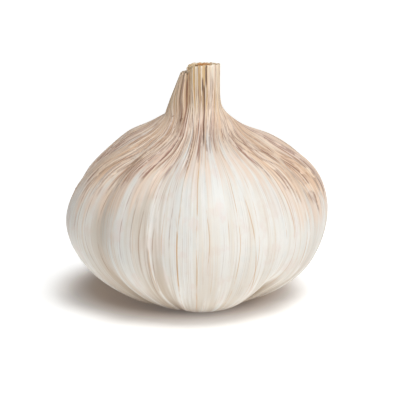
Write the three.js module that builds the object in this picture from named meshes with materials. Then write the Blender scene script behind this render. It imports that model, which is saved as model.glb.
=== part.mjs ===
// A whole garlic bulb: cloves wrapped in papery skin, a cut neck of dry leaf sheaths, and a trimmed
// root plate that it stands on. Millimetres, +Z up. The origin is the centre of the root plate's cut
// face, and the front of the bulb faces -Y. An azimuth is in degrees from the front towards +X.
import * as THREE from "three";

const { degToRad, euclideanModulo, lerp, radToDeg, smoothstep } = THREE.MathUtils;

// Driving dimensions
const bulbRadius = 30.4; // mean radius of the widest ring
const waistHeight = 22.5; // height of that ring
const shoulderHeight = 40.4; // where the skin turns in over the tops of the cloves
const neckRadius = 3.9;
const neckHeight = 57.6; // the cut end of the neck
const neckLean = 1.7; // how far the neck stands towards +X of the root plate
const neckWall = 0.95; // thickness of the skins round the stalk
const mouthDepth = 6.5; // how deep the stalk is seated in the neck
const plateRadius = 7.6; // the corky root plate
const plateHeight = 2.2;
const clearance = 0.35; // between pieces that touch

// Facets
const roundBulb = 90;
const alongBulb = 39;
const roundStalk = 36;
const rootStubs = 24;

// Each clove lies between its own crease and the next clove's. depth is the crease's share of the
// usual depth, and split is the same near the root plate. waist and foot are how far the clove
// stands out there, and lift is how much higher its widest part sits. A clove that stands out at
// the foot also hangs lower there.
const cloves = [
  { crease: -152, depth: 1.0, split: 1.0, waist: 0.0, foot: 0.3, lift: 0.0 },
  { crease: -122, depth: 1.0, split: 1.0, waist: -0.4, foot: 0.0, lift: 0.6 },
  { crease: -94, depth: 1.0, split: 1.0, waist: 0.9, foot: -0.2, lift: -0.4 },
  { crease: -48, depth: 1.0, split: 1.0, waist: 0.1, foot: -1.2, lift: 0.0 },
  { crease: -17, depth: 0.7, split: 0.9, waist: 0.3, foot: 0.3, lift: 0.2 },
  { crease: 46, depth: 0.4, split: 2.2, waist: 0.2, foot: 0.8, lift: 0.4 },
  { crease: 68, depth: 0.7, split: 0.7, waist: 0.8, foot: 0.9, lift: 2.8 },
  { crease: 104, depth: 1.2, split: 1.2, waist: 0.0, foot: 0.4, lift: -0.4 },
  { crease: 138, depth: 1.0, split: 1.0, waist: 0.2, foot: 0.0, lift: 0.0 },
  { crease: 175, depth: 1.0, split: 1.0, waist: 0.1, foot: 0.3, lift: 0.3 },
];

// The older leaf sheath beside the neck. It was cut lower, and stands off the neck like a tent.
const sheath = {
  from: -172,
  to: -60,
  crest: -104, // azimuth where it stands off the most
  foot: 45.8,
  top: 55.2,
  footRadius: 8.8, // at the crest
  topRadius: 5.0,
  wall: 0.6,
};

// The mean outline of the skin, from the lip round the root plate to the cut end of the neck.
const outline = new THREE.SplineCurve([
  new THREE.Vector2(plateRadius + 1.1, 1.5),
  new THREE.Vector2(0.37 * bulbRadius, 0.9),
  new THREE.Vector2(0.6 * bulbRadius, 3.9),
  new THREE.Vector2(0.82 * bulbRadius, 9),
  new THREE.Vector2(0.96 * bulbRadius, 15.6),
  new THREE.Vector2(bulbRadius, waistHeight),
  new THREE.Vector2(0.92 * bulbRadius, 29.8),
  new THREE.Vector2(0.74 * bulbRadius, 36.1),
  new THREE.Vector2(0.54 * bulbRadius, shoulderHeight),
  new THREE.Vector2(0.35 * bulbRadius, shoulderHeight + 2),
  new THREE.Vector2(1.72 * neckRadius, shoulderHeight + 4.5),
  new THREE.Vector2(1.12 * neckRadius, shoulderHeight + 7),
  new THREE.Vector2(0.99 * neckRadius, shoulderHeight + 10.2),
  new THREE.Vector2(neckRadius, neckHeight),
]);

// A smooth bump of height 1 that fades out past width on both sides of centre.
const bell = (value, centre, width) => Math.exp(-(((value - centre) / width) ** 2));

const polar = (radius, azimuth, height) =>
  new THREE.Vector3(
    radius * Math.sin(degToRad(azimuth)),
    -radius * Math.cos(degToRad(azimuth)),
    height,
  );

// The clove at an azimuth. crease and split are 0 on its back and rise to their shares in a crease.
function cloveAt(azimuth) {
  const start = cloves[0].crease;
  const turn = euclideanModulo(azimuth - start, 360) + start;
  const index = cloves.findLastIndex((clove) => clove.crease <= turn);
  const clove = cloves[index];
  const next = cloves[(index + 1) % cloves.length];
  const end = next === cloves[0] ? start + 360 : next.crease;
  const across = (turn - clove.crease) / (end - clove.crease);
  const back = Math.sin(Math.PI * across) ** 1.2;
  const nearest = across < 0.5 ? clove : next;
  const fromBack = Math.abs(2 * across - 1);
  return {
    crease: nearest.depth * fromBack ** 2.2,
    split: nearest.split * fromBack ** 3.2,
    waist: clove.waist * back,
    foot: clove.foot * back ** 0.6,
    lift: clove.lift * back,
  };
}

// How deep the creases are, as a share of the radius: deepest under the cloves and on the shoulder,
// and fading out at the root plate and on the neck.
function creaseDepth(radius, height, { crease, split }) {
  const low = bell(height, 4, 8);
  const depth = lerp(crease, split, low) * (0.045 + 0.05 * low + 0.05 * bell(height, 36, 6));
  const fade = 1 - smoothstep(height, shoulderHeight - 1, shoulderHeight + 6);
  return depth * fade * offPlate(radius, height, 4);
}

// 0 at the lip round the root plate, and 1 from the given distance outside it, and on the neck.
function offPlate(radius, height, distance) {
  return height > waistHeight ? 1 : smoothstep(radius, plateRadius + 1, plateRadius + 1 + distance);
}

// The skin stands out at the foot of the loose sheath.
const sheathFoot = (azimuth, height) => 1.9 * bell(azimuth, sheath.crest, 42) * bell(height, 43.4, 4.6);

// The cut end is lower beside the sheath, and a little uneven all round.
function rimDrop(azimuth) {
  const uneven = 0.12 * Math.sin(degToRad(7 * azimuth)) + 0.1 * Math.sin(degToRad(11 * azimuth + 40));
  return 1.1 * bell(azimuth, -80, 38) + uneven;
}

// Moves a point of the plain round body to its place on the bulb.
function onBulb(radius, azimuth, height) {
  const clove = cloveAt(azimuth);
  const stands = clove.waist * bell(height, waistHeight, 13) + clove.foot * bell(height, 7, 6);
  const loose = sheathFoot(azimuth, height);
  const out =
    radius * (1 - creaseDepth(radius, height, clove)) +
    stands * offPlate(radius, height, 5) +
    loose;
  const raised = clove.lift * bell(height, 28, 10) - 0.3 * clove.foot * bell(height, 4, 4);
  const lift = raised * offPlate(radius, height, 5);
  const cut = rimDrop(azimuth) * smoothstep(height, neckHeight - 5, neckHeight);
  const place = polar(out, azimuth, height + lift + 0.5 * loose - cut);
  place.x += neckLean * smoothstep(height, 32, 48);
  return place;
}

// Turns a profile about Z and moves each vertex to place(radius, azimuth, height).
function turned(profile, facets, place) {
  const geometry = new THREE.LatheGeometry(profile, facets).rotateX(Math.PI / 2);
  return moved(geometry, (x, y, z) => place(Math.hypot(x, y), radToDeg(Math.atan2(x, -y)), z));
}

function moved(geometry, place) {
  const position = geometry.attributes.position;
  for (let i = 0; i < position.count; i++) {
    const to = place(position.getX(i), position.getY(i), position.getZ(i));
    position.setXYZ(i, to.x, to.y, to.z);
  }
  geometry.computeVertexNormals();
  return geometry;
}

// Cloves, skin and neck in one. A pocket below takes the root plate, and the mouth takes the stalk.
function bulbGeometry() {
  const mouthRadius = neckRadius - neckWall;
  const mouthFloor = neckHeight - mouthDepth;
  const pocketTop = plateHeight + clearance;
  const profile = [
    new THREE.Vector2(0, pocketTop),
    new THREE.Vector2(plateRadius + clearance, pocketTop),
    ...outline.getPoints(alongBulb),
    new THREE.Vector2(mouthRadius + 0.15, neckHeight - 0.25),
    new THREE.Vector2(mouthRadius, neckHeight - 1.2),
    new THREE.Vector2(mouthRadius, mouthFloor),
    new THREE.Vector2(0, mouthFloor),
  ];
  return turned(profile, roundBulb, onBulb);
}

// The neck's radius at a height, for the sheath to lie on.
function neckRadiusAt(height) {
  const point = outline.getPoints(400).find(({ y }) => y > waistHeight && y >= height);
  return point ? point.x : neckRadius;
}

function sheathGeometry() {
  const { from, to, crest, foot, top, footRadius, topRadius, wall } = sheath;
  const slab = new THREE.BoxGeometry(1, 1, 1, 24, 9, 1).translate(0.5, 0.5, 0.5);
  const place = (across, up, through) => {
    const azimuth = lerp(from, to, across);
    const torn = 0.2 * Math.sin(degToRad(9 * azimuth)) - 1.2 * smoothstep(-azimuth, 130, 175);
    const height = lerp(foot, top + torn, up);
    const neck = neckRadiusAt(height);
    const tent = Math.max(lerp(footRadius, topRadius, (height - foot) / (top - foot)) - wall, neck);
    const inside = lerp(neck, tent, bell(azimuth, crest, 46)) + clearance;
    return polar(inside + wall * through, azimuth, height);
  };
  return moved(slab, place).translate(neckLean, 0, 0);
}

// The rolled inner leaves, cut across: an outer ring, a groove and a core.
function stalkGeometry() {
  const radius = neckRadius - neckWall - clearance;
  const foot = neckHeight - mouthDepth + clearance;
  const profile = [
    new THREE.Vector2(0, foot),
    new THREE.Vector2(radius, foot),
    new THREE.Vector2(radius, neckHeight - 2),
    new THREE.Vector2(radius - 0.1, neckHeight + 0.25),
    new THREE.Vector2(radius - 0.65, neckHeight + 0.3),
    new THREE.Vector2(radius - 0.75, neckHeight - 1.1),
    new THREE.Vector2(radius - 1.15, neckHeight - 1.1),
    new THREE.Vector2(radius - 1.25, neckHeight - 0.1),
    new THREE.Vector2(0, neckHeight + 0.1),
  ];
  const geometry = turned(profile, roundStalk, (out, azimuth, height) => {
    const uneven = 0.22 * Math.sin(degToRad(3 * azimuth + 30)) * smoothstep(height, foot, neckHeight);
    return polar(out, azimuth, height + uneven);
  });
  return geometry.translate(neckLean, 0, 0);
}

// The disc that the roots grew from. Its cut face is flat, and the root stubs flute its edge.
function rootPlateGeometry() {
  const profile = [
    new THREE.Vector2(0, 0),
    new THREE.Vector2(plateRadius - 1.4, 0),
    new THREE.Vector2(plateRadius - 0.45, 0.35),
    new THREE.Vector2(plateRadius - 0.3, 1.1),
    new THREE.Vector2(plateRadius - 0.6, plateHeight),
    new THREE.Vector2(0, plateHeight),
  ];
  return turned(profile, 4 * rootStubs, (out, azimuth, height) => {
    const flute = 0.28 * Math.cos(degToRad(rootStubs * azimuth));
    return polar(out + flute * smoothstep(out, 4, plateRadius - 1), azimuth, height);
  });
}

function piece(name, geometry, color, roughness) {
  const material = new THREE.MeshStandardMaterial({ color, roughness, metalness: 0 });
  const mesh = new THREE.Mesh(geometry, material);
  mesh.name = name;
  return mesh;
}

const garlic = new THREE.Group();
garlic.add(
  piece("bulb", bulbGeometry(), 0xe9e2d8, 0.55),
  piece("outer_sheath", sheathGeometry(), 0xb59a80, 0.65),
  piece("stalk", stalkGeometry(), 0xcda878, 0.75),
  piece("root_plate", rootPlateGeometry(), 0x9a7b58, 0.85),
);

export default garlic;
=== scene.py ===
import math

import bmesh
import bpy
import numpy as np
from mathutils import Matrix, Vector


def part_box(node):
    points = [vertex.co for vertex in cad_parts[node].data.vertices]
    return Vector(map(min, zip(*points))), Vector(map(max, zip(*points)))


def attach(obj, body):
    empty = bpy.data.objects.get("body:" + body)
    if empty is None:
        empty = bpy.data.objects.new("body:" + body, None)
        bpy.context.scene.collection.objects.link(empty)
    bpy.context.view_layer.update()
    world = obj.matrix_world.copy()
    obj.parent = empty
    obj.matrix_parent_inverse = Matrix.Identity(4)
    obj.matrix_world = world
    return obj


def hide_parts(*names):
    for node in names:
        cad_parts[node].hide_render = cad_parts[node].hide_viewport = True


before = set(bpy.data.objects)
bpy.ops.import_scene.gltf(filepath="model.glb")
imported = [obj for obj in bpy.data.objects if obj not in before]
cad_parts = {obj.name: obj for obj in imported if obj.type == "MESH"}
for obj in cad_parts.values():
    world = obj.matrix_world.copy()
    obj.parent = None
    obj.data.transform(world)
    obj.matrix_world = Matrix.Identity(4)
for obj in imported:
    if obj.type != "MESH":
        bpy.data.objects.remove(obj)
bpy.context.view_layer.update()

mm = 0.001
print("frame loaded:", sorted(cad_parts))

# The bulb's own measures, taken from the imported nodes
bulbLow, bulbHigh = (np.array(corner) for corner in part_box("bulb"))
stalkLow, stalkHigh = (np.array(corner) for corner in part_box("stalk"))
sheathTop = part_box("outer_sheath")[1][2]
waistRadius = (bulbHigh[0] - bulbLow[0] + bulbHigh[1] - bulbLow[1]) / 4
neckTop = bulbHigh[2]
neckX = (stalkLow[0] + stalkHigh[0]) / 2  # the neck leans this far from the root plate's axis


def colourOf(text):
    # an sRGB hex value as linear red, green, blue, alpha
    values = [int(text[i:i + 2], 16) / 255 for i in (1, 3, 5)]
    linear = [v / 12.92 if v <= 0.04045 else ((v + 0.055) / 1.055) ** 2.4 for v in values]
    return (*linear, 1.0)


def bell(value, centre, width):
    return np.exp(-(((value - centre) / width) ** 2))


def smooth(value, low, high):
    t = np.clip((value - low) / (high - low), 0, 1)
    return t * t * (3 - 2 * t)


def waves(angle, along, fewest, most, count, seed, drift=0.0):
    # a random wave around the bulb, made of whole turns so that it meets itself; about -1 to 1
    chance = np.random.default_rng(seed)
    total = np.zeros_like(angle)
    for _ in range(count):
        turns = chance.integers(fewest, most + 1)
        phase = chance.uniform(0, 2 * math.pi)
        total += np.cos(turns * angle + phase + drift * chance.normal() * along)
    return total / math.sqrt(count / 2) / 2


def deselectAll():
    if bpy.context.object and bpy.context.object.mode != "OBJECT":
        bpy.ops.object.mode_set(mode="OBJECT")
    bpy.ops.object.select_all(action="DESELECT")


def keepOnly(piece):
    deselectAll()
    piece.select_set(True)
    bpy.context.view_layer.objects.active = piece


def finishPiece(piece, name, node):
    # settles a piece at the origin and ties it to the frame
    keepOnly(piece)
    bpy.ops.object.transform_apply(location=True, rotation=True, scale=True)
    piece.name = name
    piece.data.name = name
    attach(piece, "root")
    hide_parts(node)
    print("made", name, len(piece.data.polygons), "faces")


# Camera: 13 degrees above level, in front of the bulb
view = {
    "aim": Vector((0.9, 0, 25.1)) * mm,
    "distance": 330 * mm,
    "elevation": math.radians(13),
    "lens": 125.5,
}


def makeCamera():
    back = Vector((0, -math.cos(view["elevation"]), math.sin(view["elevation"])))
    bpy.ops.object.camera_add(location=view["aim"] + view["distance"] * back)
    camera = bpy.context.object
    camera.rotation_euler = (-back).to_track_quat("-Z", "Y").to_euler()
    camera.data.lens = view["lens"]
    camera.data.sensor_width = 36
    camera.data.clip_start = 0.01
    camera.data.dof.use_dof = False
    bpy.context.scene.camera = camera


# Studio: a white table that glows more away from the bulb, which is painted light that keeps the
# bulb's shadow close, with a warm painted shade nearest the bulb; one large soft light from the
# upper right in front, and surroundings that look white and light the bulb faintly
studio = {
    "floorRadius": 1.6,
    "floorDrop": 0.02 * mm,
    "floorColour": "#f8f8f7",
    "warmShadeColour": "#d6b898",  # painted warm shade: the table is warmer near the bulb, like light bounced off it into its shadow, between these two distances
    "contactMiddle": (-4 * mm, 14 * mm, 0),
    "contactFrom": 19 * mm,
    "contactTo": 34 * mm,
    # painted light: how bright the table glows at how many mm away, dimmest near the bulb, which
    # paints its shadow
    "glow": (
        (14, 0.08), (18, 0.09), (22, 0.1), (28, 0.27),
        (33, 0.37), (60, 0.42), (250, 0.4), (900, 1.1),
    ),
    "surroundings": (0.05, 0.35),  # from the left and from the right
    "lights": {
        "key": {"azimuth": 22, "elevation": 60, "distance": 1.1, "size": 0.6, "power": 10.1},
    },
}


def put(tree, kind, links=None, out=0, **settings):
    # adds a shader node with its settings, values and links, and gives back one of its outputs
    node = tree.nodes.new("ShaderNode" + kind)
    for name, value in settings.items():
        setattr(node, name, value)
    for name, value in (links or {}).items():
        if isinstance(value, bpy.types.NodeSocket):
            tree.links.new(value, node.inputs[name])
        else:
            node.inputs[name].default_value = value
    return node.outputs[out]


# settings that many nodes share
eased = {"interpolation_type": "SMOOTHSTEP"}
blend = {"out": 2, "data_type": "RGBA"}


def newMaterial(name):
    material = bpy.data.materials.new(name)
    material.use_nodes = True
    return material, material.node_tree, material.node_tree.nodes["Principled BSDF"]


def makeStudio():
    bpy.ops.mesh.primitive_circle_add(
        vertices=96, radius=studio["floorRadius"], fill_type="NGON",
        location=(0, 0, -studio["floorDrop"]))
    floor = bpy.context.object
    floor.name = "floor"
    material, tree, shader = newMaterial("matt white table")
    place = put(tree, "TexCoord", out="Object")
    away = put(tree, "VectorMath", {0: place, 1: studio["contactMiddle"]},
               operation="DISTANCE", out="Value")
    clear = put(tree, "MapRange", {0: away, 1: studio["contactFrom"], 2: studio["contactTo"]},
                **eased)
    # painted light: the table's glow rises with the distance from the bulb, so it is dim where the
    # bulb's shadow falls
    glow = studio["glow"][0][1]
    for (near, dim), (far, bright) in zip(studio["glow"], studio["glow"][1:]):
        more = put(tree, "MapRange", {0: away, 1: near * mm, 2: far * mm, 4: bright - dim})
        glow = put(tree, "Math", {0: more, 1: glow}, operation="ADD")
    # painted warm shade near the bulb, mixed into the table's own colour
    colours = {6: colourOf(studio["warmShadeColour"]), 7: colourOf(studio["floorColour"])}
    paper = put(tree, "Mix", {0: clear, **colours}, **blend)
    tree.links.new(glow, shader.inputs["Emission Strength"])
    tree.links.new(paper, shader.inputs["Base Color"])
    shader.inputs["Emission Color"].default_value = (1, 1, 1, 1)
    shader.inputs["Roughness"].default_value = 0.9
    shader.inputs["Specular IOR Level"].default_value = 0.1
    floor.data.materials.append(material)

    for name, light in studio["lights"].items():
        azimuth = math.radians(light["azimuth"])
        elevation = math.radians(light["elevation"])
        level = math.cos(elevation)
        towards = Vector(
            (level * math.sin(azimuth), -level * math.cos(azimuth), math.sin(elevation)))
        bpy.ops.object.light_add(type="AREA", location=light["distance"] * towards)
        lamp = bpy.context.object
        lamp.name = name
        lamp.rotation_euler = (-towards).to_track_quat("-Z", "Y").to_euler()
        lamp.data.shape = "DISK"
        lamp.data.size = light["size"]
        lamp.data.energy = light["power"]

    world = bpy.data.worlds.new("white studio")
    world.use_nodes = True
    bpy.context.scene.world = world
    tree = world.node_tree
    lights = tree.nodes["Background"]
    sideways = put(tree, "SeparateXYZ", {0: put(tree, "TexCoord", out="Generated")})
    dimmest, brightest = studio["surroundings"]
    strength = put(tree, "MapRange", {0: sideways, 1: -0.8, 2: 0.8, 3: dimmest, 4: brightest})
    tree.links.new(strength, lights.inputs["Strength"])
    lights.inputs["Color"].default_value = (1, 1, 1, 1)
    seen = put(tree, "Background", {"Color": (1, 1, 1, 1), "Strength": 1.0})
    toCamera = put(tree, "LightPath", out="Is Camera Ray")
    mixed = put(tree, "MixShader", {0: toCamera, 1: lights.outputs[0], 2: seen})
    tree.links.new(mixed, tree.nodes["World Output"].inputs["Surface"])
    bpy.context.scene.view_settings.view_transform = "Standard"
    print("studio ready")


# Skin of the cloves and the neck. A fibre is named by the azimuth it has down on the cloves, in
# degrees from the front towards +X.
skin = {
    "columns": 240,
    "rows": 23,
    # the outline that the cage follows, as shares of the widest radius and heights in mm
    "outline": [
        (0.262, 2.2), (0.286, 1.4), (0.37, 0.9), (0.6, 3.9), (0.82, 9.0), (0.96, 15.6), (1.0, 22.5),
        (0.92, 29.8), (0.74, 36.1), (0.54, 40.4), (0.35, 42.4), (0.22, 44.9), (0.144, 47.4),
        (0.127, 50.6), (0.128, 57.7),
    ],
    "drapeReach": 5 * mm,  # how far the cage may move to lie on the cloves
    "leanFrom": 32 * mm,
    "leanTo": 48 * mm,
    "neckFrom": 44 * mm,  # between these two heights the skin becomes the neck
    "neckTo": 50 * mm,
    "gather": 38,  # degrees that a fibre swings back on its way up the neck
    "gatherFrom": 40.5 * mm,
    "gatherTo": 49.5 * mm,
    "swing": 15,  # degrees that it swings forward on the shoulder, if it is at the front
    "swingHeight": 40.5 * mm,
    "swingReach": 3.2 * mm,
    "swingEnds": (60, 100),  # between these fibres, to either side, the swing fades out
    "cutDrop": (1.2, -75, 38),  # the cut end is this many mm lower at an azimuth, over a width
    "cutRise": (0.3, 25, 60),  # and this many mm higher
    "cutRagged": 0.12 * mm,
    "cutReach": 5 * mm,  # how far down the neck the cut bends the skin
    # the edge turned over into the neck: each ring's scale and drop in mm
    "lip": ((0.965, 0.0), (0.95, -0.12), (0.97, -0.6), (1.0, -6.2)),
    "ribs": 0.03 * mm,  # fine lengthwise ribs over the cloves
    "neckRibs": 0.11 * mm,
    "dents": 0.12 * mm,
    "calm": (0.55, 11, 24),  # fewer dents on the front clove: how many fewer, fibre, width
    # creases between the cloves, darkened partly with painted shade and partly for the skin's
    # darker tone where no clove lies behind it: fibre and how dark
    "creases": [
        (-152, 0.8), (-122, 0.8), (-94, 0.8), (-48, 0.9), (-19, 0.9), (68, 0.4), (104, 0.8),
        (138, 0.8), (175, 0.8),
    ],
    "creaseWidth": 7,
    "creaseEnds": (38 * mm, 44 * mm),  # they fade out between these heights
    "footShade": (1 * mm, 21 * mm),  # and painted shade, darkest at the foot of the cloves, between these
    "notch": (46, 4.5),  # fibre and width of painted shade in a notch low on the right
    "notchEnds": (5 * mm, 14 * mm),
    "hollow": (-25, 9),  # the same of painted shade over a shallow hollow beside the front clove
    "hollowHeight": (27 * mm, 11 * mm),
    "golden": (0.9, -16, 11),  # the neck is more golden here: how much, fibre, width
    # height in mm above which the skin is dry and tan, by fibre
    "dryAbove": [
        (-180, 33), (-150, 30), (-120, 34), (-95, 31), (-60, 31), (-45, 33), (-28, 35.5), (-12, 39),
        (5, 41), (18, 41), (30, 40), (40, 38.5), (46, 35), (53, 30), (70, 27), (95, 28),
        (115, 33), (140, 30), (160, 35),
    ],
    "dryEnds": (-12, 8),  # mm below and above that edge where the skin starts and ends drying
    # creases under the cloves: fibre, width in degrees, depth, middle height and reach in mm
    "footCreases": [
        (46, 5, 1.4, 6, 5), (58, 11, 1.3, 5, 5), (-17, 4, 0.5, 3, 4), (-48, 5, 0.8, 6, 6),
    ],
    "randomFolds": 330,
    "shortFolds": 620,
}

# Folds and splits that stand out: how dark, which is russet streaking in the fold together with
# painted shade in its groove (a split has 1, painted deep shade), half width in degrees, depth in
# mm, and then the fibre that it lies on at each height in mm
boldFolds = [
    (1.0, 0.8, 0.50, [(3.1, 53.2), (3.0, 58.0)]),
    (1.0, 0.75, 0.36, [(-0.9, 51.6), (-1.0, 54.2)]),
    (1.0, 0.75, 0.40, [(3.4, 41.6), (1.5, 44.5), (0.9, 52.6)]),
    (0.85, 0.7, 0.25, [
        (-9.3, 37.5), (-9.3, 38.7), (-10.8, 42.2), (-15.0, 45.4), (-18.3, 49.2), (-18.5, 52.0),
    ]),
    (0.35, 0.6, 0.14, [(11.8, 42.9), (10.6, 45.4), (9.2, 48.7), (9.0, 56.0)]),
    (0.8, 0.6, 0.1, [(9.5, 47.2), (9.3, 49.0)]),
    (0.4, 0.6, 0.14, [(-6.0, 43.0), (-7.0, 50.0), (-7.0, 58.0)]),
    (0.4, 0.6, 0.14, [(-12.0, 46.0), (-12.5, 58.0)]),
    (0.3, 0.6, 0.12, [(18.0, 42.0), (17.0, 58.0)]),
    # painted shade along the sheath's front edge, where it meets the neck
    (0.8, 0.9, 0.2, [(-28.0, 37.0), (-26.0, 40.2), (-25.3, 42.7), (-25.2, 57.0)]),
    (0.8, 0.8, 0.15, [(-31.0, 35.0), (-30.0, 40.2), (-29.5, 44.0), (-29.2, 54.0)]),
    (0.5, 0.9, 0.15, [(-37.0, 42.0), (-34.0, 54.5)]),
    (0.6, 0.5, 0.2, [(-54.5, 34.0), (-53.6, 38.3), (-49.0, 41.4), (-37.0, 43.4), (-33.0, 47.0)]),
    (0.7, 0.5, 0.2, [(-41.0, 36.0), (-40.0, 38.3), (-37.0, 41.4), (-31.0, 44.4)]),
    (0.6, 0.5, 0.2, [(-66.0, 31.0), (-62.0, 37.0), (-57.0, 40.5), (-45.0, 43.4)]),
    (0.5, 0.7, 0.2, [(-20.0, 35.0), (-19.5, 39.0), (-21.0, 43.0), (-22.0, 48.0)]),
    (0.95, 0.6, 0.35, [(71.5, 36.0), (66.0, 38.2), (53.0, 39.9), (43.0, 43.2)]),
    (0.95, 0.5, 0.3, [(72.0, 25.0), (72.5, 29.5), (73.1, 33.9), (72.2, 36.6)]),
    (0.85, 0.5, 0.22, [(43.4, 36.8), (39.5, 40.3), (26.5, 43.5)]),
    (0.85, 0.5, 0.22, [(57.0, 36.0), (50.0, 38.6), (39.0, 42.4), (33.0, 45.0)]),
    (0.6, 0.5, 0.2, [(84.0, 30.0), (82.0, 35.0), (70.0, 38.5), (52.0, 42.0)]),
    (0.8, 0.8, 0.3, [(96.0, 32.0), (96.0, 44.0), (96.0, 58.0)]),
    (0.7, 0.8, 0.25, [(141.0, 33.0), (141.0, 43.0), (141.0, 57.0)]),
    (0.8, 0.8, 0.3, [(-150.0, 33.0), (-150.0, 44.0), (-150.0, 58.0)]),
    (0.8, 0.8, 0.3, [(-100.0, 32.0), (-100.0, 43.0), (-100.0, 50.0)]),
    (0.7, 0.8, 0.25, [(176.0, 36.0), (176.0, 58.0)]),
]


def curveThrough(points, count):
    # evenly spaced points on a smooth curve through the given ones
    points = np.array(points, float)
    padded = np.vstack([2 * points[0] - points[1], points, 2 * points[-1] - points[-2]])
    fine = []
    for i in range(len(points) - 1):
        a, b, c, d = padded[i:i + 4]
        t = np.linspace(0, 1, 40, endpoint=False)[:, None]
        cubic = (2 * a - 5 * b + 4 * c - d) * t * t + (3 * b - a - 3 * c + d) * t ** 3
        fine.append(b + 0.5 * ((c - a) * t + cubic))
    fine = np.vstack([*fine, points[-1:]])
    length = np.concatenate([[0], np.cumsum(np.linalg.norm(np.diff(fine, axis=0), axis=1))])
    even = np.linspace(0, length[-1], count)
    return np.column_stack([np.interp(even, length, fine[:, k]) for k in range(2)])


def leanAt(height):
    return neckX * smooth(height, skin["leanFrom"], skin["leanTo"])


def gatherAt(height):
    return smooth(height, skin["gatherFrom"], skin["gatherTo"])


def skinOutline(count):
    points = [(share * waistRadius, height * mm) for share, height in skin["outline"]]
    return curveThrough(points, count)


def azimuthOf(fibre, height):
    # where a fibre lies at a height
    gather = skin["gather"] * gatherAt(height)
    swing = skin["swing"] * bell(height, skin["swingHeight"], skin["swingReach"])
    swing = swing * (1 - smooth(abs(fibre), *skin["swingEnds"]))
    azimuth = np.array(fibre, float)
    for _ in range(30):
        azimuth = fibre + gather * np.sin(np.radians(azimuth)) - swing * np.sin(np.radians(fibre))
    return azimuth


def smoothCopy(node):
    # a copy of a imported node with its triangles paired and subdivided, to drape the skin on
    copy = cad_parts[node].copy()
    copy.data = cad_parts[node].data.copy()
    bpy.context.collection.objects.link(copy)
    keepOnly(copy)
    bpy.ops.object.mode_set(mode="EDIT")
    bpy.ops.mesh.select_all(action="SELECT")
    bpy.ops.mesh.remove_doubles(threshold=0.002 * mm)
    bpy.ops.mesh.tris_convert_to_quads(
        face_threshold=math.radians(60), shape_threshold=math.radians(80))
    bpy.ops.object.mode_set(mode="OBJECT")
    rounded = copy.modifiers.new("rounded", "SUBSURF")
    rounded.levels = rounded.render_levels = 2
    bpy.ops.object.modifier_apply(modifier=rounded.name)
    return copy


def selectFaces(piece, chosen):
    # in edit mode, selects the faces that a test picks out
    bpy.ops.mesh.select_mode(type="FACE")
    bpy.ops.mesh.select_all(action="DESELECT")
    shell = bmesh.from_edit_mesh(piece.data)
    for face in shell.faces:
        face.select = chosen(face)
    bmesh.update_edit_mesh(piece.data)


def makeSkinCage():
    # a ring round the root plate, extruded ring by ring over the cloves and up the neck
    outline = skinOutline(skin["rows"] + 1)
    deselectAll()
    radius, height = outline[0]
    bpy.ops.mesh.primitive_circle_add(
        vertices=skin["columns"], radius=radius, location=(0, 0, height))
    cage = bpy.context.object
    bpy.ops.object.transform_apply(location=True)
    bpy.ops.object.mode_set(mode="EDIT")
    bpy.ops.mesh.select_all(action="SELECT")
    for (fromRadius, fromHeight), (toRadius, toHeight) in zip(outline, outline[1:]):
        shift = leanAt(toHeight) - leanAt(fromHeight)
        bpy.ops.mesh.extrude_region_move(
            TRANSFORM_OT_translate={"value": (shift, 0, toHeight - fromHeight)})
        scale = toRadius / fromRadius
        bpy.ops.transform.resize(
            value=(scale, scale, 1), center_override=(leanAt(toHeight), 0, toHeight))
    bpy.ops.mesh.select_all(action="SELECT")
    bpy.ops.mesh.normals_make_consistent(inside=False)
    bpy.ops.object.mode_set(mode="OBJECT")
    return cage, outline


def vertexNumbers(mesh, name="co"):
    # every vertex's place, or another three numbers that it has
    values = np.empty(len(mesh.vertices) * 3)
    mesh.vertices.foreach_get(name, values)
    return values.reshape(-1, 3)


def mapCage(cage, outline):
    # u runs once round the bulb from the back, v from the root plate to the cut end; then every
    # column is turned to follow its own fibre
    mesh = cage.data
    place = vertexNumbers(mesh)
    radius = np.hypot(place[:, 0] - leanAt(place[:, 2]), place[:, 1])
    gap = np.hypot(radius[:, None] - outline[:, 0], place[:, 2][:, None] - outline[:, 1])
    along = gap.argmin(1) / skin["rows"]
    turn = np.arctan2(place[:, 0] - leanAt(place[:, 2]), -place[:, 1]) / (2 * math.pi) + 0.5
    turn = np.round(turn * skin["columns"]) / skin["columns"] % 1
    layer = mesh.uv_layers.new(name="OFBake")
    for face in mesh.polygons:
        turns = [turn[mesh.loops[i].vertex_index] for i in face.loop_indices]
        wraps = max(turns) - min(turns) > 0.5
        for i, value in zip(face.loop_indices, turns):
            layer.data[i].uv = (value + (wraps and value < 0.5), along[mesh.loops[i].vertex_index])
    azimuth = np.radians(azimuthOf(turn * 360 - 180, place[:, 2]))
    place[:, 0] = leanAt(place[:, 2]) + radius * np.sin(azimuth)
    place[:, 1] = -radius * np.cos(azimuth)
    mesh.vertices.foreach_set("co", place.ravel())


def fibreAndRow(mesh):
    # each vertex's fibre in degrees, and how far up the outline it is, from the map
    vertexOfLoop = np.empty(len(mesh.loops), int)
    mesh.loops.foreach_get("vertex_index", vertexOfLoop)
    uv = np.empty(len(mesh.loops) * 2)
    mesh.uv_layers["OFBake"].data.foreach_get("uv", uv)
    values = np.empty((len(mesh.vertices), 2))
    values[vertexOfLoop] = uv.reshape(-1, 2)
    return (values[:, 0] % 1) * 360 - 180, values[:, 1]


def dryEdge(fibre):
    knots = np.array(skin["dryAbove"], float)
    return np.interp(fibre, np.append(knots[:, 0], 180), np.append(knots[:, 1], knots[0, 1]))


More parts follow.
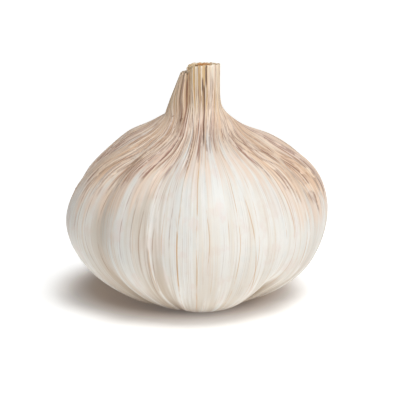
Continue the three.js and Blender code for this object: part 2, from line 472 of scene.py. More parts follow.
def chosenFolds():
    # the bold folds, and many random ones where the skin is dry; a negative depth stands up
    chance = np.random.default_rng(5)
    folds = [(dark, 0.0, wide, deep, path) for dark, wide, deep, path in boldFolds]
    for _ in range(skin["randomFolds"]):
        fibre = chance.uniform(-180, 180)
        low = float(dryEdge(fibre)) + chance.uniform(-3, 9)
        high = low + chance.uniform(4, 22)
        lean = chance.normal() * 1.2
        wide = chance.uniform(0.32, 0.55)
        deep = chance.uniform(0.05, 0.17)
        stands = chance.random() < 0.42
        # a sunken fold gets russet streaks and painted shade, a raised one a painted highlight
        dark = 0 if stands else chance.uniform(0.1, 0.85) ** 1.4
        light = chance.uniform(0.3, 1.0) if stands else 0
        path = [(fibre - lean, low), (fibre + lean, high)]
        folds.append((dark, light, wide, -deep if stands else deep, path))
    for _ in range(skin["shortFolds"]):
        fibre = chance.uniform(-180, 180)
        low = float(dryEdge(fibre)) + chance.uniform(-2, 11)
        high = low + chance.uniform(0.8, 4.5)
        dark = chance.uniform(0.3, 0.85)
        path = [(fibre, low), (fibre + chance.normal() * 0.5, high)]
        folds.append((dark, 0.0, chance.uniform(0.3, 0.5), chance.uniform(0.03, 0.1), path))
    return folds


def foldSkin(fibre, height, mmPerDegree):
    # the folds' depth, how dark they leave the skin with russet streaks and painted shade, how
    # light with painted highlights, and the splits among them, which get painted deep shade
    depth = np.zeros_like(fibre)
    dark = np.zeros_like(fibre)
    light = np.zeros_like(fibre)
    splitShade = np.zeros_like(fibre)
    for darkness, lightness, wide, deep, path in chosenFolds():
        fibres, heights = np.array(path).T
        centre = np.interp(height / mm, heights, fibres)
        apart = (fibre - centre + 180) % 360 - 180
        # it begins and ends over a mm or two
        reach = smooth(height / mm, heights[0] - 1.0, heights[0] + 0.6)
        reach *= 1 - smooth(height / mm, heights[-1] - 0.6, heights[-1] + 0.8)
        shape = bell(apart, 0, wide) * reach
        deepest = 0.5 * wide * mmPerDegree  # so that the sides of a fold never cross
        depth += np.sign(deep) * np.minimum(abs(deep), deepest) * mm * shape
        dark = np.maximum(dark, darkness * shape)
        light = np.maximum(light, lightness * shape)
        if darkness == 1:
            splitShade = np.maximum(splitShade, shape)
    return depth, dark, light, splitShade


def cutAway(azimuth, height):
    # how far the cut end of the neck is pulled down, with a slightly torn edge
    drop, dropCentre, dropWidth = skin["cutDrop"]
    rise, riseCentre, riseWidth = skin["cutRise"]
    angle = np.radians(azimuth)
    torn = skin["cutRagged"] * (waves(angle, angle, 5, 40, 14, 17) + 1)
    uneven = drop * bell(azimuth, dropCentre, dropWidth)
    uneven = uneven - rise * bell(azimuth, riseCentre, riseWidth)
    return (uneven * mm + torn) * smooth(height, neckTop - skin["cutReach"], neckTop)


def makeSkin():
    cage, outline = makeSkinCage()
    mapCage(cage, outline)
    keepOnly(cage)
    finer = cage.modifiers.new("finer", "SUBSURF")
    finer.levels = finer.render_levels = 2
    finer.uv_smooth = "NONE"
    bpy.ops.object.modifier_apply(modifier=finer.name)
    solid = smoothCopy("bulb")
    keepOnly(cage)
    drape = cage.modifiers.new("drape", "SHRINKWRAP")
    drape.target = solid
    drape.wrap_method = "PROJECT"
    drape.use_negative_direction = True
    drape.use_positive_direction = True
    drape.project_limit = skin["drapeReach"]
    bpy.ops.object.modifier_apply(modifier=drape.name)
    settle = cage.modifiers.new("settle", "SMOOTH")
    settle.factor = 0.5
    settle.iterations = 4
    bpy.ops.object.modifier_apply(modifier=settle.name)
    bpy.data.objects.remove(solid)
    print("skin draped over the cloves")

    mesh = cage.data
    place = vertexNumbers(mesh)
    normal = vertexNumbers(mesh, "normal")
    fibre, along = fibreAndRow(mesh)
    angle = np.radians(fibre)
    height = place[:, 2]
    sideways = place[:, 0] - leanAt(height)
    azimuth = np.degrees(np.arctan2(sideways, -place[:, 1]))
    gathered = math.radians(skin["gather"]) * gatherAt(height)
    spread = 1 / (1 - gathered * np.cos(np.radians(azimuth)))
    mmPerDegree = np.hypot(sideways, place[:, 1]) / mm * math.radians(1) * spread

    onNeck = smooth(height, skin["neckFrom"], skin["neckTo"])
    offFoot = smooth(along, 0.0, 0.08)
    calm, calmFibre, calmWidth = skin["calm"]
    calmFront = 1 - calm * bell(fibre, calmFibre, calmWidth)
    folds, dark, light, splitShade = foldSkin(fibre, height, mmPerDegree)
    relief = skin["ribs"] * waves(angle, along, 60, 170, 26, 3, 1.5) * (1 - onNeck)
    ribs = skin["neckRibs"] * np.minimum(1, mmPerDegree / 0.16)
    relief += ribs * waves(angle, along, 16, 60, 12, 8, 1.0) * onNeck
    relief += skin["dents"] * waves(angle, 9 * along, 3, 12, 8, 11, 1.0) * (1 - onNeck) * calmFront
    for middle, width, depth, level, reach in skin["footCreases"]:
        relief -= depth * mm * bell(fibre, middle, width) * bell(height, level * mm, reach * mm)
    moved = place + normal * ((relief - folds) * offFoot)[:, None]
    moved[:, 2] -= cutAway(azimuth, height)
    mesh.vertices.foreach_set("co", moved.ravel())
    mesh.update()

    # painted shade over the creases, the notch, the foot of the cloves and the hollow; over the
    # creases it is partly also the skin's darker tone where no clove lies behind it
    valleyToneAndShade = np.zeros_like(fibre)
    for crease, strength in skin["creases"]:
        valleyToneAndShade += strength * bell((fibre - crease + 180) % 360 - 180, 0, skin["creaseWidth"])
    valleyToneAndShade *= 1 - smooth(height, *skin["creaseEnds"])
    valleyToneAndShade += bell(fibre, *skin["notch"]) * (1 - smooth(height, *skin["notchEnds"]))
    valleyToneAndShade += 1 - smooth(height, *skin["footShade"])
    valleyToneAndShade += 0.5 * bell(fibre, *skin["hollow"]) * bell(height, *skin["hollowHeight"])
    golden, goldenFibre, goldenWidth = skin["golden"]
    paint(mesh, "dryness", smooth(height / mm - dryEdge(fibre), *skin["dryEnds"]))
    paint(mesh, "valleyToneAndShade", valleyToneAndShade)
    paint(mesh, "foldStreaksAndShade", dark)
    paint(mesh, "foldHighlight", light)
    paint(mesh, "splitShade", splitShade)
    paint(mesh, "neck", onNeck * (1 + golden * bell(fibre, goldenFibre, goldenWidth)))
    paint(mesh, "weatheredAndShaded", np.zeros_like(fibre))
    return cage


def paint(mesh, name, values):
    # one number at each vertex, which the material reads by its name
    layer = mesh.attributes.get(name) or mesh.attributes.new(name, "FLOAT", "POINT")
    layer.data.foreach_set("value", np.asarray(values, float))


def selectOpenEdges(piece, lowest, highest):
    # the open edges between two heights
    bpy.ops.mesh.select_all(action="DESELECT")
    shell = bmesh.from_edit_mesh(piece.data)
    for edge in shell.edges:
        if edge.is_boundary and all(lowest < vert.co.z < highest for vert in edge.verts):
            edge.select = True
    shell.select_flush_mode()
    bmesh.update_edit_mesh(piece.data)


def closeEnds(piece):
    # turns the skin's cut edge over and down inside the neck, and closes it there and over the
    # root plate
    keepOnly(piece)
    bpy.ops.object.mode_set(mode="EDIT")
    bpy.ops.mesh.select_mode(type="EDGE")
    selectOpenEdges(piece, 50 * mm, 60 * mm)
    middle = (neckX, 0, neckTop)
    for scale, drop in skin["lip"]:
        bpy.ops.mesh.extrude_region_move(TRANSFORM_OT_translate={"value": (0, 0, drop * mm)})
        bpy.ops.transform.resize(value=(scale, scale, 1), center_override=middle)
    bpy.ops.mesh.extrude_region_move()
    bpy.ops.mesh.merge(type="CENTER")
    selectOpenEdges(piece, 0, 5 * mm)
    bpy.ops.mesh.extrude_region_move()
    bpy.ops.mesh.merge(type="CENTER")
    bpy.ops.object.mode_set(mode="OBJECT")


# Dried outer leaf of the bulb: cellulose paper that cured white, with lengthwise veins. To the eye
# it is a satin white sheet over the cloves, and tan, pinkish and fibrous where it gathers in the
# neck. Its finest real fibres are too thin to show, so the finest streaks are 0.8 mm across.
skinLook = {
    "white": "#e0ddd7",
    "cool": "#d3d5d2",
    "blush": "#dcd0c9",
    "warm": "#dfcab8",
    "shade": "#bcae9d",  # painted shade over the creases, the notch, the hollow and the foot, and partly the skin's darker tone where no clove lies behind it
    "band": "#d5ccbd",
    "cream": "#eedfc9",
    "petal": "#ecdcca",
    "tan": "#d7b79b",
    "pink": "#d3b09a",
    "grey": "#947d66",
    "straw": "#cba772",
    "gold": "#bf9153",
    "brown": "#94694a",
    "russet": "#7a452c",
    "maroon": "#8a4b34",
    # painted deep shade inside the splits
    "umber": "#472a10",
    # noise drawn out along the fibres: mm across at the widest ring, changes from foot to neck,
    # detail, seed
    "streaks": {
        "patches": (14.0, 3.0, 2, 5.0),
        "middling": (2.6, 2.2, 2, 7.7),
        "fine": (0.8, 2.6, 3, 1.3),
        "fibres": (1.5, 3.2, 4, 12.0),
        "tint": (5.0, 2.4, 2, 17.0),
        "broken": (3.2, 9.0, 3, 21.0),
        "mottle": (4.5, 14.0, 3, 27.0),
        "dashes": (2.2, 24.0, 3, 37.0),
        "wander": (40.0, 4.0, 1, 31.0),
    },
    "dryishFrom": (0.12, 0.5),  # how dry the skin is where it turns warm, and where it is all dry
    "dryFrom": (0.54, 0.88),
    "ragged": (("fine", 0.9), ("middling", 0.75)),  # streaks that fray the edge of the dry skin
    "veinDrift": 0.006,  # how far a vein wanders, as a share of the way round
    # colours laid one over another: colour, streaks, from, to, most, and where
    "layers": [
        ("cool", "patches", 0.50, 0.62, 0.4, "all"),
        ("blush", "patches", 0.46, 0.34, 0.5, "all"),
        ("blush", "mottle", 0.52, 0.64, 0.6, "all"),
        ("cool", "mottle", 0.46, 0.34, 0.35, "all"),
        ("band", "middling", 0.50, 0.64, 0.3, "all"),
        ("band", "fine", 0.52, 0.62, 0.4, "all"),
        # painted shade over the creases, the notch, the hollow and the foot
        ("shade", "middling", 0.30, 0.60, 0.75, "valleyToneAndShade"),
        ("warm", "middling", 0.30, 0.60, 0.85, "dryish"),
        ("petal", "fine", 0.05, 0.10, 0.9, "dry"),
        ("tan", "tint", 0.40, 0.58, 0.9, "dry"),
        ("pink", "tint", 0.50, 0.38, 0.75, "dry"),
        ("petal", "fibres", 0.48, 0.58, 0.5, "dry"),
        ("cream", "fine", 0.30, 0.52, 0.75, "neck"),
        ("straw", "fibres", 0.52, 0.40, 0.8, "neck"),
        ("white", "fine", 0.54, 0.64, 0.4, "dry"),
        ("grey", "fibres", 0.35, 0.58, 0.85, "weatheredAndShaded"),
        ("tan", "middling", 0.42, 0.54, 0.4, "weatheredAndShaded"),
        ("cream", "fine", 0.54, 0.64, 0.4, "weatheredAndShaded"),
        # painted highlights on raised folds, then russet and maroon streaks with painted shade in
        # the fold grooves, then painted deep shade in the splits
        ("white", "fine", 0.30, 0.50, 0.65, "foldHighlight"),
        ("russet", "dashes", 0.36, 0.48, 0.9, "foldStreaksAndShade"),
        ("maroon", "tint", 0.50, 0.44, 0.5, "foldStreaksAndShade"),
        ("umber", "fine", 0.05, 0.10, 0.95, "splitShade"),
    ],
    # veins scattered over the skin: mm apart, half width as a share of that, strength, colour,
    # where, the streaks that break them, and how far they stand up
    "scattered": [
        (1.7, 0.085, 0.8, "gold", "all", "broken", 0.6),
        (1.0, 0.11, 0.4, "brown", "all", "broken", 0.0),
        (0.6, 0.2, 0.22, "brown", "all", "broken", 0.0),
        (2.6, 0.15, 1.0, "russet", "shoulder", "dashes", -1.0),
        (1.6, 0.14, 0.7, "russet", "shoulder", "dashes", -0.6),
        (1.5, 0.10, 0.6, "white", "shoulder", "dashes", 1.0),
    ],
    # veins that stand out: fibre, degrees it drifts from foot to neck, lowest and highest mm,
    # width in mm, strength, colour
    "veins": [
        (-28.0, 2, 14, 36, 0.22, 0.4, "brown"),
        (-24.0, 4, 12, 38, 0.26, 0.5, "brown"),
        (-33.0, 3, 14, 38, 0.24, 0.5, "maroon"),
        (-11.0, 4, 18, 40, 0.22, 0.5, "maroon"),
        (-48.5, 5, 8, 38, 0.28, 0.6, "brown"),
        (-56.5, -6, 8, 36, 0.24, 0.5, "brown"),
        (-63.5, -2, 10, 34, 0.30, 0.6, "maroon"),
        (-70.0, 0, 8, 34, 0.24, 0.5, "gold"),
        (-20.2, 6, 5, 38, 0.24, 0.55, "brown"),
        (-17.8, 8, 6, 38, 0.22, 0.5, "brown"),
        (-14.4, 3, 10, 38, 0.22, 0.45, "gold"),
        (-7.5, 4, 2, 42, 0.30, 0.85, "gold"),
        (0.4, 1, 2, 41, 0.24, 0.75, "gold"),
        (23.5, -19, 6, 41, 0.24, 0.7, "gold"),
        (13.6, -4, 20, 33, 0.22, 0.55, "gold"),
        (29.0, 0, 6, 18, 0.24, 0.5, "gold"),
        (46.5, -4, 18, 39, 0.26, 0.75, "gold"),
        (44.0, -3, 24, 38, 0.22, 0.5, "brown"),
        (67.0, -3, 24, 40, 0.24, 0.5, "brown"),
        (78.0, 0, 22, 40, 0.24, 0.5, "brown"),
        (-38.0, 0, 8, 30, 0.22, 0.4, "gold"),
        (7.0, 0, 4, 24, 0.22, 0.45, "gold"),
        (35.0, -4, 8, 30, 0.22, 0.4, "gold"),
        (55.0, -3, 8, 36, 0.24, 0.5, "gold"),
        (95.0, 0, 8, 38, 0.28, 0.7, "brown"),
        (121.0, 3, 6, 38, 0.26, 0.7, "gold"),
        (150.0, -4, 6, 40, 0.30, 0.7, "brown"),
        (168.0, 2, 6, 38, 0.26, 0.6, "gold"),
        (-172.0, 2, 6, 38, 0.28, 0.7, "brown"),
        (-145.0, -3, 6, 38, 0.26, 0.7, "gold"),
        (-128.0, 2, 6, 40, 0.30, 0.7, "brown"),
        (-104.0, -2, 6, 38, 0.26, 0.6, "brown"),
        (-82.0, 0, 8, 38, 0.24, 0.5, "gold"),
    ],
}


def paperySkin(name, look):
    material, tree, shader = newMaterial(name)
    girth = 2 * math.pi * waistRadius / mm
    uv = put(tree, "UVMap", uv_map="OFBake")
    u = put(tree, "SeparateXYZ", {0: uv})
    v = u.node.outputs[1]
    angle = put(tree, "Math", {0: u, 1: 2 * math.pi}, operation="MULTIPLY")
    across = put(tree, "Math", {0: angle}, operation="COSINE")
    beside = put(tree, "Math", {0: angle}, operation="SINE")
    around = put(tree, "CombineXYZ", {0: across, 1: beside, 2: v})

    noise = {}
    for label, (spacing, along, detail, seed) in look["streaks"].items():
        turns = waistRadius / mm / spacing
        drawn = put(tree, "VectorMath",
                    {0: around, 1: (turns, turns, along), 2: (seed, seed, seed)},
                    operation="MULTIPLY_ADD")
        noise[label] = put(tree, "TexNoise",
                           {"Vector": drawn, "Scale": 1.0, "Detail": detail, "Roughness": 0.6})

    # where the dry skin begins: an edge that runs far up and down along the fibres
    where = {"all": 1.0}
    for label in ("dryness", "valleyToneAndShade", "neck", "foldStreaksAndShade", "foldHighlight", "splitShade", "weatheredAndShaded"):
        where[label] = put(tree, "Attribute", attribute_name=label, out="Fac")
    uneven = where["dryness"]
    for label, amount in look["ragged"]:
        centred = put(tree, "Math", {0: noise[label], 1: 0.5}, operation="SUBTRACT")
        uneven = put(tree, "Math", {0: centred, 1: amount, 2: uneven}, operation="MULTIPLY_ADD")
    for label in ("dryish", "dry"):
        start, end = look[label + "From"]
        where[label] = put(tree, "MapRange", {0: uneven, 1: start, 2: end}, **eased)
    belowNeck = put(tree, "Math", {0: 1.0, 1: where["neck"]}, operation="SUBTRACT")
    where["shoulder"] = put(tree, "Math", {0: where["dry"], 1: belowNeck}, operation="MULTIPLY",
                            use_clamp=True)

    colour = put(tree, "RGB")
    colour.default_value = colourOf(look["white"])
    for shade, label, low, high, most, place in look["layers"]:
        if low < high:
            limits = {1: low, 2: high, 3: 0.0, 4: most}
        else:
            limits = {1: high, 2: low, 3: most, 4: 0.0}
        share = put(tree, "MapRange", {0: noise[label], **limits}, **eased)
        share = put(tree, "Math", {0: share, 1: where[place]}, operation="MULTIPLY", use_clamp=True)
        colour = put(tree, "Mix", {0: share, 6: colour, 7: colourOf(look[shade])}, **blend)

    # scattered fine veins, each at its own random place and strength
    bent = put(tree, "Math", {0: noise["wander"], 1: 1.5}, operation="MULTIPLY")
    veinHeight = 0.0
    for spacing, width, strength, shade, place, breaks, stands in look["scattered"]:
        patchy = put(tree, "MapRange", {0: noise[breaks], 1: 0.4, 2: 0.54}, **eased)
        patchy = put(tree, "Math", {0: patchy, 1: where[place]}, operation="MULTIPLY")
        veins = float(round(girth / spacing))
        cell = put(tree, "Math", {0: u, 1: veins, 2: bent}, operation="MULTIPLY_ADD")
        near = put(tree, "TexVoronoi", {"W": cell, "Scale": 1.0}, voronoi_dimensions="1D")
        chance = put(tree, "SeparateColor", {0: near.node.outputs["Color"]})
        chance = put(tree, "MapRange", {0: chance, 1: 0.3, 2: 1.0, 4: strength})
        line = put(tree, "MapRange", {0: near, 1: 0.0, 2: width, 3: 1.0, 4: 0.0}, **eased)
        line = put(tree, "Math", {0: line, 1: chance}, operation="MULTIPLY")
        line = put(tree, "Math", {0: line, 1: patchy}, operation="MULTIPLY")
        colour = put(tree, "Mix", {0: line, 6: colour, 7: colourOf(look[shade])}, **blend)
        veinHeight = put(tree, "Math", {0: line, 1: stands, 2: veinHeight},
                         operation="MULTIPLY_ADD")

    # the veins that stand out, broken here and there
    heights, alongs = heightTable()
    drifts = look["veinDrift"]
    wander = put(tree, "Math", {0: noise["wander"], 1: drifts, 2: -drifts / 2},
                 operation="MULTIPLY_ADD")
    strongest = {}
    for fibre, drift, low, high, width, strength, shade in look["veins"]:
        middle = (fibre + 180 - drift / 2) / 360
        centre = put(tree, "Math", {0: v, 1: drift / 360, 2: middle}, operation="MULTIPLY_ADD")
        centre = put(tree, "Math", {0: centre, 1: wander}, operation="ADD")
        apart = put(tree, "Math", {0: u, 1: centre}, operation="SUBTRACT")
        apart = put(tree, "Math", {0: apart}, operation="ABSOLUTE")
        turns = width / girth
        line = put(tree, "MapRange",
                   {0: apart, 1: 0.2 * turns, 2: 0.8 * turns, 3: strength, 4: 0.0}, **eased)
        vLow, vHigh = (float(end) for end in np.interp([low, high], heights, alongs))
        begun = put(tree, "MapRange", {0: v, 1: vLow, 2: vLow + 0.08}, **eased)
        ended = put(tree, "MapRange", {0: v, 1: vHigh - 0.1, 2: vHigh, 3: 1.0, 4: 0.0}, **eased)
        line = put(tree, "Math", {0: line, 1: begun}, operation="MULTIPLY")
        line = put(tree, "Math", {0: line, 1: ended}, operation="MULTIPLY")
        before = strongest.get(shade, 0.0)
        strongest[shade] = put(tree, "Math", {0: line, 1: before}, operation="MAXIMUM")
    broken = put(tree, "MapRange", {0: noise["broken"], 1: 0.38, 2: 0.56, 3: 0.15, 4: 0.85},
                 **eased)
    for shade, line in strongest.items():
        share = put(tree, "Math", {0: line, 1: broken}, operation="MULTIPLY")
        colour = put(tree, "Mix", {0: share, 6: colour, 7: colourOf(look[shade])}, **blend)
        veinHeight = put(tree, "Math", {0: veinHeight, 1: line}, operation="ADD")
    tree.links.new(colour, shader.inputs["Base Color"])

    fibrous = put(tree, "Math", {0: where["dry"], 1: noise["fibres"]}, operation="MULTIPLY")
    relief = put(tree, "Math", {0: noise["fine"], 1: 0.8}, operation="MULTIPLY")
    for layer, amount in ((noise["middling"], 0.6), (fibrous, 1.6), (veinHeight, 0.35)):
        relief = put(tree, "Math", {0: layer, 1: amount, 2: relief}, operation="MULTIPLY_ADD")
    bump = put(tree, "Bump", {"Height": relief, "Strength": 0.6, "Distance": 0.12 * mm})
    tree.links.new(bump, shader.inputs["Normal"])
    rough = put(tree, "MapRange", {0: noise["fine"], 1: 0.3, 2: 0.7, 3: 0.44, 4: 0.6})
    tree.links.new(rough, shader.inputs["Roughness"])
    shader.inputs["IOR"].default_value = 1.47
    shader.inputs["Subsurface Weight"].default_value = 0.12
    shader.inputs["Subsurface Radius"].default_value = (1.0, 0.8, 0.6)
    shader.inputs["Subsurface Scale"].default_value = 1.2 * mm
    return material


def heightTable():
    # heights in mm up the outline and how far along it they are
    outline = skinOutline(400)
    start = outline[:, 1].argmin()
    return outline[start:, 1] / mm, np.linspace(0, 1, 400)[start:]


# Outer sheath: the older leaf beside the neck, lifted off the skin like a tent and cut lower
sheath = {
    "from": -150,  # between these two fibres
    "to": -26,
    "fromFade": 14,  # degrees over which each side comes off the skin
    "toFade": 9,
    "crest": -104,  # azimuth where it stands off most, and the width of that
    "width": 37,
    "foot": 37.6 * mm,  # it comes out of the skin just above here
    "free": 44 * mm,  # and is clear of it from here up
    "lift": (43.5 * mm, 46.5 * mm),
    "lifted": 46.1 * mm,
    "liftedRadius": 8.9 * mm,
    "topRadius": 5.3 * mm,
    "clear": 0.1 * mm,
    "sunk": 0.3 * mm,
    "wall": 0.4 * mm,
    "ribs": 0.16 * mm,
    "ribbed": (44 * mm, 49 * mm),
    "torn": 0.1 * mm,
    "tornBack": 1.1 * mm,  # its top edge is this much lower at the back, between these azimuths
    "backFrom": (130, 175),
    "tornReach": 4 * mm,
    "weatheredAndShaded": (41 * mm, 48 * mm),  # it is grey above these heights
    "shadedEdge": (-34, 9),  # and painted shade, darkest near this fibre, beside the crease where the sheath meets the neck
}


def makeSheath(skinPiece):
    # a copy of the skin's faces beside the neck, pushed out and cut
    top = sheathTop
    copy = skinPiece.copy()
    copy.data = skinPiece.data.copy()
    bpy.context.collection.objects.link(copy)
    fibre, _ = fibreAndRow(copy.data)
    keepOnly(copy)
    bpy.ops.object.mode_set(mode="EDIT")

    def elsewhere(face):
        onFibre = np.mean([fibre[vert.index] for vert in face.verts])
        beside = sheath["from"] < onFibre < sheath["to"]
        return not (beside and sheath["foot"] < face.calc_center_median().z < top)

    selectFaces(copy, elsewhere)
    bpy.ops.mesh.delete(type="FACE")
    bpy.ops.object.mode_set(mode="OBJECT")

    mesh = copy.data
    fibre, _ = fibreAndRow(mesh)
    place = vertexNumbers(mesh)
    normal = vertexNumbers(mesh, "normal")
    out = place[:, :2] - (neckX, 0)
    radius = np.hypot(out[:, 0], out[:, 1])
    azimuth = np.degrees(np.arctan2(out[:, 0], -out[:, 1]))
    height = place[:, 2]
    up = (height - sheath["lifted"]) / (top - sheath["lifted"])
    wanted = sheath["liftedRadius"] + up * (sheath["topRadius"] - sheath["liftedRadius"])
    tent = bell(azimuth, sheath["crest"], sheath["width"])
    tent *= smooth(sheath["to"] - fibre, 0, sheath["toFade"])
    tent *= smooth(fibre - sheath["from"], 0, sheath["fromFade"])
    lift = np.maximum(wanted - radius, 0) * tent * smooth(height, *sheath["lift"])
    angle = np.radians(fibre)
    ribbed = tent * smooth(height, *sheath["ribbed"])
    lift += sheath["ribs"] * waves(angle, height / mm / 50, 30, 90, 12, 23) * ribbed
    free = smooth(height, sheath["foot"] + 0.5 * mm, sheath["free"])
    offset = sheath["clear"] * free - sheath["sunk"] * (1 - free)
    place += normal * offset[:, None]
    place[:, :2] += out / radius[:, None] * lift[:, None]
    torn = sheath["torn"] * (waves(angle, angle, 20, 80, 12, 29) + 1)
    torn += sheath["tornBack"] * smooth(-azimuth, *sheath["backFrom"])
    place[:, 2] -= torn * smooth(height, top - sheath["tornReach"], top)
    mesh.vertices.foreach_set("co", place.ravel())
    mesh.update()
    # painted shade near the front edge, where the sheath meets the neck, over the grey of the
    # weathered leaf
    edge = 0.75 + bell(fibre, *sheath["shadedEdge"])
    paint(mesh, "weatheredAndShaded", smooth(height, *sheath["weatheredAndShaded"]) * edge)
    wall = copy.modifiers.new("wall", "SOLIDIFY")
    wall.thickness = sheath["wall"]
    wall.offset = -1
    bpy.ops.object.modifier_apply(modifier=wall.name)
    return copy


# Stalk: leaves rolled inside one another, cut across, round a woody core
stalk = {
    "leaves": [
        {"radius": 3.4 * mm, "top": 57.25 * mm, "wall": 0.24 * mm, "seed": 41},
        {"radius": 2.95 * mm, "top": 57.2 * mm, "wall": 0.26 * mm, "seed": 43},
        {"radius": 2.45 * mm, "top": 57.1 * mm, "wall": 0.3 * mm, "seed": 47},
    ],
    "foot": 51.2 * mm,
    "leafRings": (0.4, 0.25, 0.15, 0.1, 0.06, 0.04),  # shares of a leaf's height
    "leafTorn": 0.16 * mm,
    "coreRadius": 1.95 * mm,
    "coreTop": 57.25 * mm,
    "coreInsets": 9,
    "coreInset": 0.18 * mm,
    "coreRough": 0.12 * mm,
    "coreRings": 0.1 * mm,
    "coreHollow": 0.45 * mm,
    "coreHollowRadius": 0.8 * mm,
}


def makeLeaf(leaf):
    # a ring extruded up, pressed slightly out of round and torn at the cut
    deselectAll()
    bpy.ops.mesh.primitive_circle_add(
        vertices=180, radius=leaf["radius"], location=(neckX, 0, stalk["foot"]))
    piece = bpy.context.object
    bpy.ops.object.transform_apply(location=True)
    bpy.ops.object.mode_set(mode="EDIT")
    bpy.ops.mesh.select_all(action="SELECT")
    rise = leaf["top"] - stalk["foot"]
    for step in stalk["leafRings"]:
        bpy.ops.mesh.extrude_region_move(TRANSFORM_OT_translate={"value": (0, 0, step * rise)})
    bpy.ops.object.mode_set(mode="OBJECT")
    place = vertexNumbers(piece.data)
    out = place[:, :2] - (neckX, 0)
    angle = np.arctan2(out[:, 0], -out[:, 1])
    near = smooth(place[:, 2], leaf["top"] - 2.5 * mm, leaf["top"])
    wavy = 1 + 0.035 * waves(angle, angle, 3, 14, 8, leaf["seed"])
    place[:, :2] = (neckX, 0) + out * wavy[:, None]
    torn = stalk["leafTorn"] * (waves(angle, angle, 4, 26, 12, leaf["seed"] + 1) + 0.6)
    place[:, 2] -= torn * near
    piece.data.vertices.foreach_set("co", place.ravel())
    wall = piece.modifiers.new("wall", "SOLIDIFY")
    wall.thickness = leaf["wall"]
    bpy.ops.object.modifier_apply(modifier=wall.name)
    bpy.ops.object.shade_smooth()
    return piece


def makeCore():
    # a plug whose cut end is inset again and again, then left rough and slightly hollow
    deselectAll()
    top = stalk["coreTop"]
    bpy.ops.mesh.primitive_cylinder_add(
        vertices=96, radius=stalk["coreRadius"], depth=top - stalk["foot"], end_fill_type="NGON",
        location=(neckX, 0, (top + stalk["foot"]) / 2))
    piece = bpy.context.object
    bpy.ops.object.transform_apply(location=True)
    bpy.ops.object.mode_set(mode="EDIT")
    selectFaces(piece, lambda face: face.normal.z > 0.9)
    for _ in range(stalk["coreInsets"]):
        bpy.ops.mesh.inset(thickness=stalk["coreInset"])
    bpy.ops.mesh.poke()
    bpy.ops.object.mode_set(mode="OBJECT")
    place = vertexNumbers(piece.data)
    out = place[:, :2] - (neckX, 0)
    angle = np.arctan2(out[:, 0], -out[:, 1])
    radius = np.hypot(out[:, 0], out[:, 1])
    onEnd = place[:, 2] > top - 0.01 * mm
    rough = stalk["coreRough"] * waves(angle, radius / mm * 6, 0, 18, 14, 53)
    rough += stalk["coreRings"] * np.cos(radius / mm * 9)
    hollow = stalk["coreHollow"] * bell(radius, 0, stalk["coreHollowRadius"])
    place[onEnd, 2] += (rough - hollow)[onEnd]
    wavy = 1 + 0.05 * waves(angle, angle, 2, 9, 6, 59)
    place[:, :2] = (neckX, 0) + out * wavy[:, None]
    piece.data.vertices.foreach_set("co", place.ravel())
    bpy.ops.object.shade_smooth_by_angle(angle=math.radians(50))
    return piece


# Dry leaf sheath and stem tissue, cut with a knife: straw-coloured fibres that browned where the
# cut dried. To the eye it is matt, streaked along the leaf and darkest round its core.
stalkLook = {
    "straw": "#ddc8a4",
    "brown": "#b57b42",
    "dark": "#8a5f38",
    "fibre": 0.35,  # mm across
    "patches": 900.0,  # of browning in a metre, about 1.1 mm each
    "brownFrom": 3.0 * mm,  # how far below the cut the browning starts
    "brownInside": (0.6 * mm, 2.4 * mm),  # it fades out between these distances from the middle
}


def dryStem(name, look):
    material, tree, shader = newMaterial(name)
    place = put(tree, "TexCoord", out="Object")
    centred = put(tree, "VectorMath", {0: place, 1: (neckX, 0, 0)}, operation="SUBTRACT")
    perFibre = 1 / (look["fibre"] * mm)
    drawn = put(tree, "VectorMath", {0: centred, 1: (perFibre, perFibre, perFibre / 9)},
                operation="MULTIPLY")
    fibres = put(tree, "TexNoise", {"Vector": drawn, "Scale": 1.0, "Detail": 3.0})
    height = put(tree, "SeparateXYZ", {0: centred}).node.outputs[2]
    nearCut = put(tree, "MapRange",
                  {0: height, 1: neckTop - look["brownFrom"], 2: neckTop + 0.2 * mm}, **eased)
    flat = put(tree, "VectorMath", {0: centred, 1: (1, 1, 0)}, operation="MULTIPLY")
    fromAxis = put(tree, "VectorMath", {0: flat}, operation="LENGTH", out="Value")
    near, far = look["brownInside"]
    inner = put(tree, "MapRange", {0: fromAxis, 1: near, 2: far, 3: 1.0, 4: 0.0}, **eased)
    patch = put(tree, "TexNoise", {"Vector": centred, "Scale": look["patches"], "Detail": 3.0})
    patch = put(tree, "Math", {0: patch, 1: 0.5}, operation="SUBTRACT")
    browned = put(tree, "Math", {0: nearCut, 1: inner, 2: patch}, operation="MULTIPLY_ADD")
    colour = put(tree, "RGB")
    colour.default_value = colourOf(look["straw"])
    layers = [("brown", browned, -0.1, 0.6, 1.0), ("dark", fibres, 0.5, 0.72, 0.6)]
    for shade, value, low, high, most in layers:
        share = put(tree, "MapRange", {0: value, 1: low, 2: high, 4: most}, **eased)
        colour = put(tree, "Mix", {0: share, 6: colour, 7: colourOf(look[shade])}, **blend)
    tree.links.new(colour, shader.inputs["Base Color"])
    bump = put(tree, "Bump", {"Height": fibres, "Strength": 0.8, "Distance": 0.15 * mm})
    tree.links.new(bump, shader.inputs["Normal"])
    shader.inputs["Roughness"].default_value = 0.75
    shader.inputs["IOR"].default_value = 1.5
    return material


# Root plate: the corky disc that the roots grew from, with the stubs left by trimming
root = {
    "radius": 7.3 * mm,
    "height": 2.3 * mm,
    "insets": 22,
    "inset": 0.32 * mm,
    "pits": 0.22 * mm,
    "rim": 1.6 * mm,  # the plate curves up this far in from its edge
    "rimRise": 0.5 * mm,
    "stubs": 96,
    "rows": 3,
    "rowStep": 0.75 * mm,
    "stubRadius": 0.42 * mm,
    "stubLengths": (0.9, 1.7),  # mm
    "stubTilts": (18, 55),  # degrees that the stubs lean outwards
}


